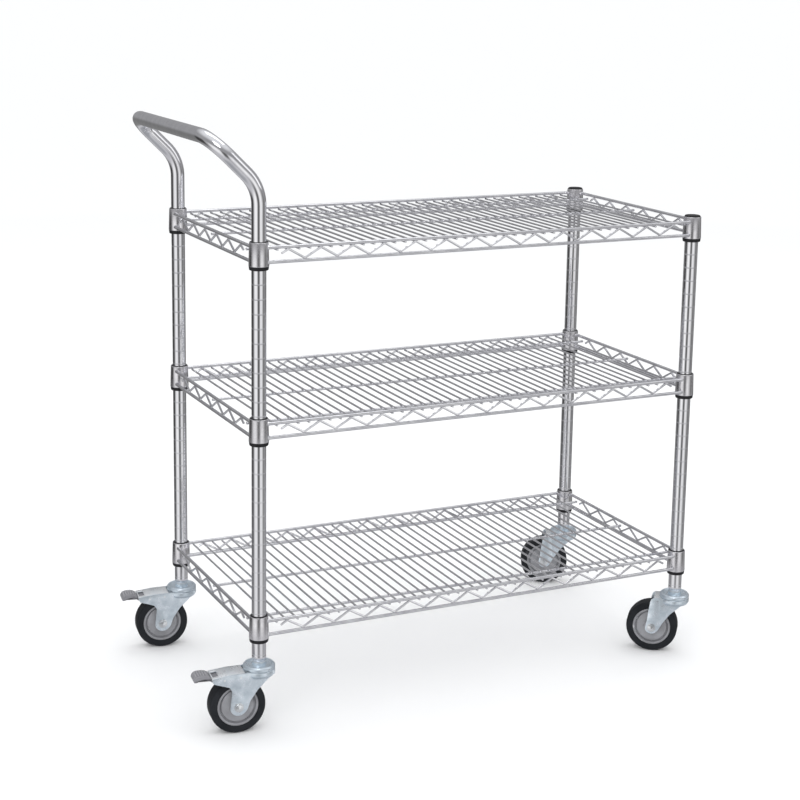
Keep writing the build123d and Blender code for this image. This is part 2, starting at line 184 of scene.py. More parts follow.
def tube(bm, corners, radius, bends=(), sides=WIRE_SIDES, bend_step=radians(7), round_ends=True):
    """A bent wire or tube through corners, with a bend radius at each inner corner."""
    points = [Vector(c) for c in corners]
    along = (points[1] - points[0]).normalized()
    nose = 0.35 * radius if round_ends else 0.0
    edges = ring_at(bm, points[0], along, radius - nose, sides)
    bmesh.ops.edgeloop_fill(bm, edges=edges)
    here = points[0].copy()
    if nose:
        edges, verts = pulled(bm, edges)
        bmesh.ops.scale(bm, verts=verts, vec=[radius / (radius - nose)] * 3,
                        space=Matrix.Translation(-here))
        bmesh.ops.translate(bm, verts=verts, vec=along * nose)
        here += along * nose
    for i in range(1, len(points) - 1):
        onward = (points[i + 1] - points[i]).normalized()
        turn = along.angle(onward)
        bend = bends[i - 1]
        reach = bend * tan(turn / 2)
        stop = points[i] - along * reach
        edges, verts = pulled(bm, edges)
        bmesh.ops.translate(bm, verts=verts, vec=stop - here)
        axis = along.cross(onward).normalized()
        centre = stop + axis.cross(along) * bend
        steps = max(2, round(turn / bend_step))
        for _ in range(steps):
            edges, verts = pulled(bm, edges)
            bmesh.ops.rotate(bm, verts=verts, cent=centre,
                             matrix=Matrix.Rotation(turn / steps, 3, axis))
        here = points[i] + onward * reach
        along = onward
    edges, verts = pulled(bm, edges)
    bmesh.ops.translate(bm, verts=verts, vec=points[-1] - along * nose - here)
    if nose:
        edges, verts = pulled(bm, edges)
        bmesh.ops.scale(bm, verts=verts, vec=[(radius - nose) / radius] * 3,
                        space=Matrix.Translation(-(points[-1] - along * nose)))
        bmesh.ops.translate(bm, verts=verts, vec=along * nose)
    bmesh.ops.edgeloop_fill(bm, edges=edges)


def bead(bm, place, size, flat=(1, 1, 1)):
    """A small weld bead."""
    shape = Matrix.Translation(place) @ Matrix.Diagonal((*flat, 1))
    bmesh.ops.create_icosphere(bm, subdivisions=1, radius=size, matrix=shape)


def piece(bm, name, body, material, nodes=(), smooth=35):
    """Turns a bmesh into a finished piece that rides on a body and stands for CAD nodes."""
    bmesh.ops.remove_doubles(bm, verts=bm.verts, dist=2e-6)
    bmesh.ops.recalc_face_normals(bm, faces=bm.faces)
    mesh = bpy.data.meshes.new(name)
    bm.to_mesh(mesh)
    bm.free()
    mesh.materials.append(material)
    mesh.shade_smooth()
    mesh.set_sharp_from_angle(angle=radians(smooth))
    obj = bpy.data.objects.new(name, mesh)
    bpy.context.scene.collection.objects.link(obj)
    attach(obj, body)
    if nodes:
        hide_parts(*nodes)
    return obj


def dress(node, material):
    """Gives a carried-over CAD node its material."""
    obj = frame["nodes"][node]
    if not obj.material_slots:
        obj.data.materials.append(material)
    for holder in obj.material_slots:
        holder.material = material


# ---------------------------------------------------------------- node groups shared by materials
def socket(tree, name, way, kind="NodeSocketFloat", value=None):
    """One input or output of a node group."""
    made = tree.interface.new_socket(name=name, in_out=way, socket_type=kind)
    if value is not None:
        made.default_value = value
    return made


def surface_mottle():
    """Two sizes of noise in one: gives a tone mask, a roughness and a bump height."""
    tree = bpy.data.node_groups.new("surface_mottle", "ShaderNodeTree")
    for name, value in (("Broad Scale", 20.0), ("Fine Scale", 600.0), ("Stretch", 1.0),
                        ("Smooth", 0.1), ("Rough", 0.3)):
        socket(tree, name, "INPUT", value=value)
    for name in ("Tone", "Roughness", "Height"):
        socket(tree, name, "OUTPUT")
    new, link = tree.nodes.new, tree.links.new
    given, out = new("NodeGroupInput"), new("NodeGroupOutput")
    place = new("ShaderNodeTexCoord")
    long = new("ShaderNodeVectorMath")
    long.operation = "MULTIPLY"
    pull = new("ShaderNodeCombineXYZ")
    pull.inputs["X"].default_value = 1.0
    pull.inputs["Y"].default_value = 1.0
    link(given.outputs["Stretch"], pull.inputs["Z"])
    link(place.outputs["Object"], long.inputs[0])
    link(pull.outputs["Vector"], long.inputs[1])
    broad, fine = new("ShaderNodeTexNoise"), new("ShaderNodeTexNoise")
    for noise, scale, detail in ((broad, "Broad Scale", 3.0), (fine, "Fine Scale", 2.0)):
        link(long.outputs["Vector"], noise.inputs["Vector"])
        link(given.outputs[scale], noise.inputs["Scale"])
        noise.inputs["Detail"].default_value = detail
    blend = new("ShaderNodeMath")
    blend.operation = "MULTIPLY_ADD"
    blend.inputs[1].default_value = 0.35
    link(fine.outputs["Fac"], blend.inputs[0])
    share = new("ShaderNodeMath")
    share.operation = "MULTIPLY"
    share.inputs[1].default_value = 0.65
    link(broad.outputs["Fac"], share.inputs[0])
    link(share.outputs["Value"], blend.inputs[2])
    spread = new("ShaderNodeMapRange")
    spread.inputs["From Min"].default_value = 0.36
    spread.inputs["From Max"].default_value = 0.64
    link(blend.outputs["Value"], spread.inputs["Value"])
    rough = new("ShaderNodeMapRange")
    link(spread.outputs["Result"], rough.inputs["Value"])
    link(given.outputs["Smooth"], rough.inputs["To Min"])
    link(given.outputs["Rough"], rough.inputs["To Max"])
    link(spread.outputs["Result"], out.inputs["Tone"])
    link(rough.outputs["Result"], out.inputs["Roughness"])
    link(fine.outputs["Fac"], out.inputs["Height"])
    return tree


def edge_wear_and_sheen():
    """A mask of outer edges, from the surface's pointiness: wear on most finishes, a painted highlight on
    the wheel centre's rim.
    """
    tree = bpy.data.node_groups.new("edge_wear_and_sheen", "ShaderNodeTree")
    socket(tree, "Start", "INPUT", value=0.52)
    socket(tree, "Full", "INPUT", value=0.62)
    socket(tree, "Edge", "OUTPUT")
    new, link = tree.nodes.new, tree.links.new
    given, out = new("NodeGroupInput"), new("NodeGroupOutput")
    shape = new("ShaderNodeNewGeometry")
    mask = new("ShaderNodeMapRange")
    link(shape.outputs["Pointiness"], mask.inputs["Value"])
    link(given.outputs["Start"], mask.inputs["From Min"])
    link(given.outputs["Full"], mask.inputs["From Max"])
    link(mask.outputs["Result"], out.inputs["Edge"])
    return tree


MOTTLE = surface_mottle()
EDGE = edge_wear_and_sheen()


def finish_of(name, light, dark, metallic, smooth, rough, broad=20.0, fine=600.0, stretch=1.0,
              bump=0.1, depth=0.0001, wear_and_sheen=None, wear_and_sheen_from=0.52, coat=0.0, shine=0.5):
    """A material: two mixed tones, mottled roughness, fine bump and an optional edge tint, which is wear on
    most finishes and a painted highlight on the wheel centre's rim.
    """
    mat = bpy.data.materials.new(name)
    mat.use_nodes = True
    tree = mat.node_tree
    new, link = tree.nodes.new, tree.links.new
    shader = tree.nodes["Principled BSDF"]
    shader.inputs["Metallic"].default_value = metallic
    shader.inputs["Coat Weight"].default_value = coat
    shader.inputs["Specular IOR Level"].default_value = shine
    mottle = new("ShaderNodeGroup")
    mottle.node_tree = MOTTLE
    for key, value in (("Broad Scale", broad), ("Fine Scale", fine), ("Stretch", stretch),
                       ("Smooth", smooth), ("Rough", rough)):
        mottle.inputs[key].default_value = value
    tones = new("ShaderNodeMix")
    tones.data_type = "RGBA"
    tones.inputs["A"].default_value = (*light, 1)
    tones.inputs["B"].default_value = (*dark, 1)
    link(mottle.outputs["Tone"], tones.inputs["Factor"])
    colour = tones.outputs["Result"]
    # Outer edges take the edge tint: wear, and on the wheel centre a painted highlight.
    if wear_and_sheen:
        wear_and_sheen_mask = new("ShaderNodeGroup")
        wear_and_sheen_mask.node_tree = EDGE
        wear_and_sheen_mask.inputs["Start"].default_value = wear_and_sheen_from
        wear_and_sheen_mask.inputs["Full"].default_value = wear_and_sheen_from + 0.1
        edges = new("ShaderNodeMix")
        edges.data_type = "RGBA"
        edges.inputs["B"].default_value = (*wear_and_sheen, 1)
        link(wear_and_sheen_mask.outputs["Edge"], edges.inputs["Factor"])
        link(colour, edges.inputs["A"])
        colour = edges.outputs["Result"]
    link(colour, shader.inputs["Base Color"])
    link(mottle.outputs["Roughness"], shader.inputs["Roughness"])
    dent = new("ShaderNodeBump")
    dent.inputs["Strength"].default_value = bump
    dent.inputs["Distance"].default_value = depth
    link(mottle.outputs["Height"], dent.inputs["Height"])
    link(dent.outputs["Normal"], shader.inputs["Normal"])
    return mat


CHROME_WIRE = finish_of("chrome_wire", (0.86, 0.86, 0.88), (0.68, 0.68, 0.71), 1.0, 0.08, 0.20,
                        broad=35, fine=500, bump=0.10)
CHROME_TUBE = finish_of("chrome_tube", (0.88, 0.88, 0.90), (0.76, 0.76, 0.79), 1.0, 0.04, 0.11,
                        broad=60, fine=900, stretch=0.03, bump=0.02)
CHROME_COLLAR = finish_of("chrome_collar", (0.82, 0.81, 0.83), (0.68, 0.67, 0.70), 1.0, 0.14, 0.30,
                          broad=45, fine=700, bump=0.15, wear_and_sheen=(0.92, 0.92, 0.93))
ZINC = finish_of("zinc_plate", (0.82, 0.90, 0.97), (0.58, 0.67, 0.74), 0.85, 0.22, 0.44,
                 broad=75, fine=900, bump=0.25, wear_and_sheen=(0.95, 0.98, 1.0))
BOLT_STEEL = finish_of("bolt_steel", (0.90, 0.93, 0.95), (0.70, 0.73, 0.76), 1.0, 0.20, 0.38,
                       broad=90, fine=1200, bump=0.12, wear_and_sheen=(0.85, 0.86, 0.87))
BALL_STEEL = finish_of("ball_steel", (0.70, 0.70, 0.72), (0.58, 0.58, 0.60), 1.0, 0.08, 0.16,
                       broad=200, fine=2000, bump=0.03)
BLACK_PLASTIC = finish_of("black_plastic", (0.004, 0.004, 0.005), (0.012, 0.012, 0.014), 0.0, 0.35, 0.55,
                          broad=80, fine=2500, bump=0.2, wear_and_sheen=(0.03, 0.03, 0.033), shine=0.25)
TYRE_RUBBER = finish_of("tyre_rubber", (0.008, 0.010, 0.013), (0.018, 0.020, 0.024), 0.0, 0.42, 0.62,
                        broad=30, fine=1800, bump=0.25, wear_and_sheen=(0.05, 0.05, 0.055), wear_and_sheen_from=0.53, shine=0.22)
# The wheel centre's lighter outer edges are a painted highlight on its rim.
WHEEL_PLASTIC = finish_of("wheel_plastic", (0.33, 0.335, 0.355), (0.23, 0.23, 0.245), 0.0, 0.34, 0.52,
                          broad=40, fine=1500, bump=0.2, wear_and_sheen=(0.52, 0.52, 0.54), coat=0.1)
GREY_PLASTIC = finish_of("grey_plastic", (0.24, 0.24, 0.26), (0.17, 0.17, 0.185), 0.0, 0.38, 0.55,
                         broad=50, fine=1600, bump=0.25, wear_and_sheen=(0.36, 0.36, 0.38))


# ---------------------------------------------------------------- camera, light and floor
DOME_R = 6.0
FLOOR_HALF = 60
CART_MIDDLE = (0, 0, 0.5)
CAMERA_PLACE = (-1.468, -2.894, 1.334)
CAMERA_YAW = radians(25.77)
CAMERA_PITCH = radians(-11.08)
CAMERA_ROLL = radians(0.90)
CAMERA_LENS = 77.94
CAMERA_SHIFT = -0.125


def make_camera():
    """A camera turned by yaw, pitch and roll; returns its yaw for the dome."""
    data = bpy.data.cameras.new("camera")
    data.sensor_width = 36.0
    data.lens = CAMERA_LENS
    data.shift_y = CAMERA_SHIFT
    data.clip_end = 200.0
    camera = bpy.data.objects.new("camera", data)
    yaw, pitch, roll = CAMERA_YAW, CAMERA_PITCH, CAMERA_ROLL
    ahead = Vector((sin(yaw) * cos(pitch), cos(yaw) * cos(pitch), sin(pitch)))
    right = Vector((cos(yaw), -sin(yaw), 0))
    above = right.cross(ahead)
    right_rolled = right * cos(roll) + above * sin(roll)
    above_rolled = above * cos(roll) - right * sin(roll)
    turn = Matrix((right_rolled, above_rolled, -ahead)).transposed().to_4x4()
    camera.matrix_world = Matrix.Translation(CAMERA_PLACE) @ turn
    bpy.context.scene.collection.objects.link(camera)
    bpy.context.scene.camera = camera
    return yaw


def softbox(name, place, size, power):
    """A rectangle of soft light aimed at the middle of the cart."""
    data = bpy.data.lights.new(name, "AREA")
    data.shape = "RECTANGLE"
    data.size, data.size_y = size
    data.energy = power
    light = bpy.data.objects.new(name, data)
    light.location = place
    light.rotation_euler = (Vector(CART_MIDDLE) - Vector(place)).to_track_quat("-Z", "Y").to_euler()
    bpy.context.scene.collection.objects.link(light)


def make_floor():
    """A wide pale floor that reflections do not show."""
    bm = bmesh.new()
    bmesh.ops.create_grid(bm, x_segments=1, y_segments=1, size=FLOOR_HALF)
    mesh = bpy.data.meshes.new("floor")
    bm.to_mesh(mesh)
    bm.free()
    floor = bpy.data.objects.new("floor", mesh)
    bpy.context.scene.collection.objects.link(floor)
    mat = bpy.data.materials.new("pale_floor")
    mat.use_nodes = True
    shader = mat.node_tree.nodes["Principled BSDF"]
    shader.inputs["Base Color"].default_value = (0.95, 0.953, 0.955, 1)
    shader.inputs["Roughness"].default_value = 0.9
    shader.inputs["Specular IOR Level"].default_value = 0.1
    mesh.materials.append(mat)
    floor.visible_glossy = False


# degrees round from behind the object, by its left, the camera and its right: brightness
STUDIO_BANDS = ((0, 0.24), (25, 0.22), (52, 0.20), (66, 0.05), (92, 0.06), (106, 0.42), (122, 0.92),
                (143, 1.05), (158, 0.86), (168, 0.22), (178, 0.11), (190, 0.20), (200, 0.78),
                (214, 1.0), (230, 0.78), (248, 0.34), (262, 0.16), (284, 0.32), (318, 0.14),
                (344, 0.22), (360, 0.24))


def make_dome(yaw):
    """A dome of soft light and dark bands round the studio that only reflections show."""
    bm = bmesh.new()
    bmesh.ops.create_uvsphere(bm, u_segments=96, v_segments=48, radius=DOME_R)
    mesh = bpy.data.meshes.new("studio_dome")
    bm.to_mesh(mesh)
    bm.free()
    dome = bpy.data.objects.new("studio_dome", mesh)
    bpy.context.scene.collection.objects.link(dome)
    for seen_by in ("camera", "diffuse", "transmission", "volume_scatter", "shadow"):
        setattr(dome, f"visible_{seen_by}", False)
    mat = bpy.data.materials.new("studio_dome")
    mat.use_nodes = True
    tree = mat.node_tree
    tree.nodes.clear()
    new, link = tree.nodes.new, tree.links.new
    place, split = new("ShaderNodeTexCoord"), new("ShaderNodeSeparateXYZ")
    link(place.outputs["Object"], split.inputs["Vector"])
    bearing = new("ShaderNodeMath")
    bearing.operation = "ARCTAN2"
    link(split.outputs["Y"], bearing.inputs[0])
    link(split.outputs["X"], bearing.inputs[1])
    start = new("ShaderNodeMath")
    start.operation = "ADD"
    start.inputs[1].default_value = 4 * pi - (pi / 2 - yaw)
    link(bearing.outputs["Value"], start.inputs[0])
    share = new("ShaderNodeMath")
    share.operation = "MULTIPLY"
    share.inputs[1].default_value = 1 / (2 * pi)
    link(start.outputs["Value"], share.inputs[0])
    part = new("ShaderNodeMath")
    part.operation = "FRACT"
    link(share.outputs["Value"], part.inputs[0])
    bands = new("ShaderNodeValToRGB")
    bands.color_ramp.interpolation = "EASE"
    ramp = bands.color_ramp.elements
    for degrees, shade in STUDIO_BANDS[1:-1]:
        ramp.new(degrees / 360).color = (shade, shade, shade, 1)
    for end, (_, shade) in ((ramp[0], STUDIO_BANDS[0]), (ramp[-1], STUDIO_BANDS[-1])):
        end.color = (shade, shade, shade, 1)
    link(part.outputs["Value"], bands.inputs["Fac"])

    def by_height(low, high, shade, colour):
        """Mixes the colour so far towards an even shade between two heights."""
        rise, mix = new("ShaderNodeMapRange"), new("ShaderNodeMix")
        rise.interpolation_type = "SMOOTHSTEP"
        rise.inputs["From Min"].default_value = low
        rise.inputs["From Max"].default_value = high
        link(split.outputs["Z"], rise.inputs["Value"])
        mix.data_type = "RGBA"
        mix.inputs["B"].default_value = (*shade, 1)
        link(rise.outputs["Result"], mix.inputs["Factor"])
        link(colour, mix.inputs["A"])
        return mix.outputs["Result"]

    colour = by_height(0.1, 1.7, (0.34, 0.34, 0.35), bands.outputs["Color"])
    colour = by_height(0.50 * DOME_R, 0.92 * DOME_R, (0.84, 0.85, 0.87), colour)
    colour = by_height(-0.15 * DOME_R, -0.60 * DOME_R, (0.60, 0.60, 0.62), colour)
    colour = by_height(-0.60 * DOME_R, -0.85 * DOME_R, (0.38, 0.39, 0.41), colour)
    glow, out = new("ShaderNodeEmission"), new("ShaderNodeOutputMaterial")
    glow.inputs["Strength"].default_value = 1.0
    link(colour, glow.inputs["Color"])
    link(glow.outputs["Emission"], out.inputs["Surface"])
    mesh.materials.append(mat)


def make_world():
    """Even white light from all round."""
    world = bpy.data.worlds.new("studio")
    bpy.context.scene.world = world
    world.use_nodes = True
    sky = world.node_tree.nodes["Background"]
    sky.inputs["Color"].default_value = (0.985, 0.99, 1.0, 1)
    sky.inputs["Strength"].default_value = 1.06


bpy.context.scene.view_settings.view_transform = "Standard"
camera_yaw = make_camera()
make_world()
make_floor()
make_dome(camera_yaw)
softbox("key_light", (-2.2, -2.6, 3.2), (1.8, 1.8), 22)
softbox("fill_light", (2.8, -1.8, 2.2), (1.6, 2.0), 8)
softbox("top_light", (0.2, 0.3, 3.4), (2.4, 1.2), 12)


# ---------------------------------------------------------------- shelves
def collar_reach(tier, height, aside):
    """How far from a post axis a rim wire ends, at a height and an offset from the axis."""
    share = (height - COLLAR_FOOT[tier]) / (COLLAR_TOP[tier] - COLLAR_FOOT[tier])
    radius = COLLAR_R_FOOT + (COLLAR_R_TOP - COLLAR_R_FOOT) * share
    return sqrt(max(radius**2 - aside**2, 0)) - RIM_SINK


def side_map(side):
    """Turns (along, height) on one side of a shelf into a point."""
    if side in ("front", "back"):
        y = RIM_Y if side == "back" else -RIM_Y
        return lambda along, height: Vector((along, y, height))
    x = RIM_X if side == "right" else -RIM_X
    return lambda along, height: Vector((x, along, height))


def truss(tier, side):
    """Two rim wires and the snake wire between them, with weld beads where they meet."""
    way = "x" if side in ("front", "back") else "y"
    post = POST_AXIS["back_right"]
    half = post.x if way == "x" else post.y
    aside = RIM_Y - post.y if way == "x" else RIM_X - post.x
    at = side_map(side)
    high, low = TRUSS_TOP[tier], TRUSS_FOOT[tier]
    bm = bmesh.new()
    for height in (high, low):
        end = half - collar_reach(tier, height, aside)
        tube(bm, [at(-end, height), at(end, height)], RIM_R, sides=16, round_ends=False)
        for sign in (-1, 1):
            flat = (1.5, 0.8, 1.0) if way == "x" else (0.8, 1.5, 1.0)
            bead(bm, at(sign * (end - RIM_SINK), height), COLLAR_WELD_R, flat)
    step = SNAKE_PITCH[way] / 2
    peaks = SNAKE_PEAKS[way]
    nest = RIM_R + SNAKE_R - SNAKE_SINK
    rise = high - low - 2 * nest
    crest = SNAKE_BEND * (sqrt(step**2 + rise**2) / step - 1)
    top, foot = high - nest + crest, low + nest - crest
    first = -(peaks - 1) * step
    loose = top - SNAKE_STUB * (top - foot)
    corners = [at(first - SNAKE_STUB * step, loose)]
    for i in range(2 * peaks - 1):
        along = first + i * step
        corners.append(at(along, foot if i % 2 else top))
        weld = low + RIM_R if i % 2 else high - RIM_R
        bead(bm, at(along, weld), SNAKE_WELD_R, (1.7, 1.0, 0.7) if way == "x" else (1.0, 1.7, 0.7))
    corners.append(at(-first + SNAKE_STUB * step, loose))
    tube(bm, corners, SNAKE_R, bends=[SNAKE_BEND] * (len(corners) - 2), sides=10,
         bend_step=radians(14))
    name = f"{tier}_shelf_{side}_truss"
    piece(bm, f"{name}_wires", "frame", CHROME_WIRE, [name])


def deck(tier):
    """Deck wires on three support wires; their ends show under the long rims."""
    pitch = SNAKE_PITCH["x"] / DECK_PER_PEAK
    count = DECK_PER_PEAK * (SNAKE_PEAKS["x"] - 1) + 3
    deck_z = TRUSS_TOP[tier] - RIM_R - DECK_R + DECK_SINK
    support_z = deck_z - DECK_R - SUPPORT_R + SUPPORT_SINK
    end_y = RIM_Y + DECK_OVERHANG
    end_x = RIM_X - SUPPORT_SHORT
    bm = bmesh.new()
    for y in SUPPORT_Y:
        tube(bm, [(-end_x, y, support_z), (end_x, y, support_z)], SUPPORT_R, sides=12)
    for i in range(count):
        x = (i - (count - 1) / 2) * pitch
        tube(bm, [(x, -end_y, deck_z), (x, end_y, deck_z)], DECK_R, sides=10)
        for y in SUPPORT_Y:
            bead(bm, (x, y, deck_z - DECK_R), DECK_WELD_R, (1.5, 1.5, 0.8))
    piece(bm, f"{tier}_shelf_deck_wires", "frame", CHROME_WIRE,
          [f"{tier}_shelf_deck"])


def collars(tier):
    """Four tapered collars with rolled edges."""
    top, foot = COLLAR_TOP[tier], COLLAR_FOOT[tier]
    bm = bmesh.new()
    section = filleted([(SLEEVE_R_FOOT, foot, COLLAR_BORE_EDGE), (COLLAR_R_FOOT, foot, COLLAR_EDGE),
                        (COLLAR_R_TOP, top, COLLAR_EDGE), (SLEEVE_R_TOP, top, COLLAR_BORE_EDGE)], 3)
    for axis in POST_AXIS.values():
        spun(bm, section, axis)
    piece(bm, f"{tier}_shelf_corner_collars", "frame", CHROME_COLLAR,
          [f"{tier}_shelf_collars"])


def sleeves(tier):
    """Black wedge sleeves inside the collars; their lips show above and below."""
    top, foot = COLLAR_TOP[tier], COLLAR_FOOT[tier]
    lip_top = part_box(f"{tier}_shelf_sleeves")[1][2]
    bore, lip_high = POST_R + SLEEVE_GAP, foot - 2 * SLEEVE_GAP
    section = filleted([(bore, foot - SLEEVE_LIP, 0), (SLEEVE_LIP_R_FOOT, foot - SLEEVE_LIP, 1.4 * MM),
                        (SLEEVE_LIP_R, lip_high, 0.6 * MM), (SLEEVE_R_FOOT, lip_high, 0),
                        (SLEEVE_R_TOP, top, 0), (SLEEVE_R_TOP + 0.9 * MM, top + 0.2 * MM, 0.3 * MM),
                        (SLEEVE_R_TOP + 0.4 * MM, lip_top, 0.5 * MM), (bore, lip_top, 0)], 3)
    bm = bmesh.new()
    for axis in POST_AXIS.values():
        spun(bm, section, axis)
    piece(bm, f"{tier}_shelf_wedge_sleeves", "frame", BLACK_PLASTIC,
          [f"{tier}_shelf_sleeves"])


for tier in TIERS:
    for side in SIDES:
        truss(tier, side)
    deck(tier)
    collars(tier)
    sleeves(tier)


# ---------------------------------------------------------------- posts, caps and handle
def post(corner):
    """Tube with rolled height grooves."""
    node = f"{corner}_post"
    low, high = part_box(node)[0][2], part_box(node)[1][2]
    groove = (COLLAR_TOP["bottom"] + COLLAR_FOOT["bottom"]) / 2
    while groove - GROOVE_PITCH > low + GROOVE_WIDE:
        groove -= GROOVE_PITCH
    inner = POST_R - TUBE_WALL
    section = [(inner, low), (POST_R - TUBE_EDGE, low), (POST_R, low + TUBE_EDGE)]
    while groove < high - GROOVE_WIDE:
        for along, share in GROOVE_SHAPE:
            section.append((POST_R - share * GROOVE_DEEP, groove + along * GROOVE_WIDE))
        groove += GROOVE_PITCH
    section += [(POST_R, high), (inner, high)]
    bm = bmesh.new()
    spun(bm, section, POST_AXIS[corner])
    piece(bm, f"{corner}_post_tube", "frame", CHROME_TUBE, [node], smooth=50)


for corner in CORNERS:
    post(corner)


def handle():
    """The push handle: one bent tube from post to post."""
    low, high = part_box("push_handle")
    legs = POST_AXIS["front_left"]
    bar_x, bar_z = low[0] + POST_R, high[2] - POST_R
    bend_z = bar_z - (legs.x - bar_x) * tan(HANDLE_SLOPE)
    corners = [(legs.x, legs.y, low[2]), (legs.x, legs.y, bend_z), (bar_x, legs.y, bar_z),
               (bar_x, -legs.y, bar_z), (legs.x, -legs.y, bend_z), (legs.x, -legs.y, low[2])]
    bm = bmesh.new()
    tube(bm, corners, POST_R, bends=HANDLE_BENDS, sides=TUBE_SIDES,
         bend_step=radians(4), round_ends=False)
    piece(bm, "push_handle_tube", "frame", CHROME_TUBE, ["push_handle"])


handle()
def caps():
    """Dished caps on the two posts without the handle."""
    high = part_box("post_caps")[1][2]
    bore, flange = POST_R - TUBE_WALL, high - CAP_FLANGE
    low, dish = flange - CAP_PLUG, high - CAP_DISH
    section = filleted([(0, low, 0), (bore, low, 1 * MM), (bore, flange, 0),
                        (CAP_R, flange, 0), (CAP_R, high, 0.9 * MM), (CAP_RIM_R, high, 0.5 * MM),
                        (CAP_DISH_R, dish, 0.5 * MM), (0, dish, 0)], 3)
    bm = bmesh.new()
    for corner in ("front_right", "back_right"):
        spun(bm, section, POST_AXIS[corner], closed=False)
    piece(bm, "post_end_caps", "frame", BLACK_PLASTIC, ["post_caps"])


caps()
dress("handle_spigots", ZINC)
dress("post_foot_inserts", ZINC)


# ---------------------------------------------------------------- casters, in mm beside the wheel
# Outlines are (trail, height) and turned sections (radius, height or width).
# A third number is a corner radius.
TRAIL = 41
AXLE_Z = 50
CHEEK_IN = 18
CHEEK_OUT = 20.5
WEB_OUT = CHEEK_OUT - 0.4
CHEEK_EDGE = 0.8
WEB_EDGE = 0.6
STRIP_EDGE = 0.4
SPACER_R = 6
WASHER_R = 8.6
WASHER_HIGH = 1
NUT_R = 7.5
NUT_END = 5                      # these three are counted from the cheek's outside
BOLT_TIP_END = 6.5
BOLT_HEAD_END = 5.4
BOLT_R = 3.9
CHEEK_REAR = [(-24, 106, 2), (-14, 99, 8), (6, 80, 25), (20, 60, 20)]
PLAIN_CHEEK = CHEEK_REAR + [(28, 44.6, 13), (35.6, 37, 13), (46.4, 37, 13), (54, 44.6, 13),
                            (50.5, 62, 15), (48, 84, 30), (45, 103, 10), (43, 108.5, 3), (38, 112, 2),
                            (-24, 112, 1)]
BRAKE_CHEEK = CHEEK_REAR + [(25.5, 43.6, 15.5), (34.6, 34.5, 15.5), (47.4, 34.5, 15.5),
                            (56.5, 43.6, 15.5), (54.5, 62, 15), (52.5, 80, 6), (57, 88, 6),
                            (66, 91.3, 8), (79, 95.5, 6), (85.5, 98, 2.5), (88, 107.8, 1.5),
                            (56, 111.5, 30), (29, 112, 10), (-24, 112, 1)]
TAIL_WEB = [(29, 112), (56, 111.5), (75, 109.3), (75, 106.8), (56, 109), (29, 109.5)]
TAIL_SIDE = [(74, 109.4), (86.5, 108), (86.5, 105.5), (74, 106.9)]
TAIL_END = [(85.5, 108.1), (87.8, 107.8), (87.8, 104.2), (86.2, 103.8), (85.5, 105.6)]
SLOT_HALF = 11
PLAIN_PANEL = [(23.5, 66, 4), (28.8, 45, 12.2), (36, 37.8, 12.2), (46, 37.8, 12.2), (53.2, 45, 12.2),
               (49.9, 62, 15), (47.4, 84, 30), (44.4, 103, 8), (42.6, 108, 3), (26.5, 108.5, 2.5)]
PANEL_HIGH = 0.8
PLAIN_WEB = [(24, 101.5), (31, 109.5), (38, 109.5), (38, 112), (22, 112), (22, 101.5)]
CROWN = [(10, 104, 0), (23, 104, 0), (23, 100, 0.8), (25.5, 100, 0.8), (28.5, 104.5, 3),
         (28.5, 112, 2.2), (10, 112, 0)]
RACE = [(0, 97, 0), (9, 97, 1), (9, 101.5, 0.5), (6, 101.5, 0), (6, 112.5, 0), (28.5, 112.5, 1),
        (28.5, 117.5, 2.5), (26, 120.5, 1.2), (23.5, 120.5, 1), (21.5, 118.5, 1.5), (12.5, 118.5, 0.6),
        (12.5, 124.5, 1), (6, 124.5, 0), (6, 160, 1), (0, 160, 0)]
CORE_HALF = [(6.05, 17.3, 0.3), (14, 17.3, 1.2), (15.2, 11.4, 1.2), (29, 11, 0.8), (30, 7.5, 0.4),
             (32, 7.5, 0.4), (33, 13, 0.8), (37, 13, 0.4)]
TYRE_HALF = [(37, 14.5, 0.4), (39, 16, 1.5), (50, 16, 6)]
PEDAL = [(62.6, 101.6, 1), (66, 99.4, 1), (70, 99.8, 2), (86, 99.5, 3), (89, 101, 2), (92, 104, 3),
         (99, 106.2, 10), (107, 105, 8), (112.5, 102.2, 3), (117.5, 101.8, 1.2), (119, 103.2, 1),
         (118.5, 107, 6), (115.5, 111.4, 5), (109, 113.2, 12), (100, 113, 12), (94, 111.5, 4),
         (89.5, 108.8, 3), (88.6, 104.6, 2), (80, 105.4, 8), (66, 106.9, 2), (62.6, 106, 1.5)]
PEDAL_HALF = 15
RIB_R = 1.2
RIB_SHORT = 3                    # a rib stops this far inside the pedal's sides
PEDAL_RIBS = ((96.5, 112.5), (101, 113.2), (105.5, 113.3), (110, 113.0), (114.2, 111.9))


def caster_at(corner):
    """Turns (trail, height, across) in mm beside a caster's wheel into a point."""
    swivel = Vector(HINGES[f"{corner}_swivel_turn"]["pos_m"])
    spin = HINGES[f"{corner}_wheel_spin"]
    ahead = Vector(spin["pos_m"]) - swivel
    ahead.z = 0
    ahead.normalize()
    across = Vector(spin["axis"])
    foot = Vector((swivel.x, swivel.y, 0))
    return lambda u, z, w: foot + (ahead * u + UP * z + across * w) * MM


def plate(bm, outline, at, low, high, rounding=0.5):
    """A flat part cut to an outline, from one distance across to another, with rounded edges."""
    face = bm.faces.new([bm.verts.new(at(u, z, low)) for u, z in outline])
    made = bmesh.ops.extrude_face_region(bm, geom=[face])["geom"]
    far = [g for g in made if isinstance(g, bmesh.types.BMVert)]
    bmesh.ops.translate(bm, verts=far, vec=at(0, 0, high) - at(0, 0, low))
    ends = [face] + [g for g in made if isinstance(g, bmesh.types.BMFace)]
    bmesh.ops.bevel(bm, geom=list({e for f in ends for e in f.edges}), offset=rounding * MM,
                    segments=2, profile=0.5, affect="EDGES", material=-1)


